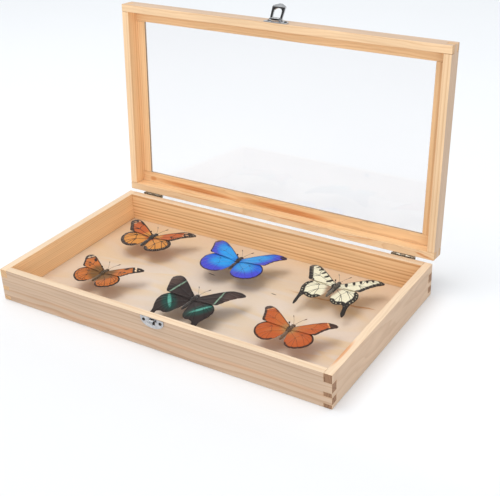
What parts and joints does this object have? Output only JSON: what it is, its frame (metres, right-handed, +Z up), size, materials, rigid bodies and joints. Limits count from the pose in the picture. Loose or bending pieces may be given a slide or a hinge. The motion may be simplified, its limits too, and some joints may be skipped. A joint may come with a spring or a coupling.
{
  "type": "insect display case with pinned butterflies",
  "caption": "Shallow finger-jointed pine case with a hinged glazed lid standing open, a loop latch, and spread butterflies pinned to its plywood floor.",
  "frame": {"origin": "middle of the case's flat underside", "axes": "+X along the long side, -Y towards the front with the latch, +Y towards the hinges, +Z up"},
  "size_m": [0.4, 0.2676, 0.2815],
  "materials": {
    "pine": "bare sanded pine",
    "plywood": "bare pale plywood",
    "glass": "clear polished",
    "hinge_steel": "dull darkened plating",
    "plated_steel": "bright nickel plating",
    "monarch_wing": "matte scales",
    "morpho_wing": "metallic scales",
    "swallowtail_wing": "matte scales",
    "tiger_wing": "matte scales",
    "dark_wing": "velvety scales",
    "orange_wing": "matte scales"
  },
  "bodies": {
    "case": {"front_wall": "pine", "rear_wall": "pine", "left_wall": "pine", "right_wall": "pine", "bottom_panel": "plywood", "hinge_left_case_leaf": "hinge_steel", "hinge_left_pin": "hinge_steel", "hinge_right_case_leaf": "hinge_steel", "hinge_right_pin": "hinge_steel", "case_hinge_screw_1": "plated_steel", "case_hinge_screw_2": "plated_steel", "case_hinge_screw_3": "plated_steel", "case_hinge_screw_4": "plated_steel", "latch_catch": "plated_steel", "catch_screw_1": "plated_steel", "catch_screw_2": "plated_steel", "monarch_butterfly": "monarch_wing", "blue_morpho_butterfly": "morpho_wing", "pale_swallowtail_butterfly": "swallowtail_wing", "tiger_butterfly": "tiger_wing", "dark_swallowtail_butterfly": "dark_wing", "orange_butterfly": "orange_wing"},
    "lid": {"lid_front_rail": "pine", "lid_rear_rail": "pine", "lid_left_stile": "pine", "lid_right_stile": "pine", "glass_pane": "glass", "hinge_left_lid_leaf": "hinge_steel", "hinge_right_lid_leaf": "hinge_steel", "lid_hinge_screw_1": "plated_steel", "lid_hinge_screw_2": "plated_steel", "lid_hinge_screw_3": "plated_steel", "lid_hinge_screw_4": "plated_steel", "latch_plate": "plated_steel", "latch_pin": "plated_steel", "latch_screw_1": "plated_steel", "latch_screw_2": "plated_steel"},
    "loop": {"latch_loop": "plated_steel"}
  },
  "joints": [
    {"name": "lid_hinge", "type": "hinge", "parent": "case", "child": "lid", "pos_m": [0, 0.115, 0.037], "axis": [1, 0, 0], "range_deg": [0, 94]},
    {"name": "latch_swing", "type": "hinge", "parent": "lid", "child": "loop", "pos_m": [0.004, 0.13441, 0.26731], "axis": [1, 0, 0], "range_deg": [0, 119]}
  ]
}
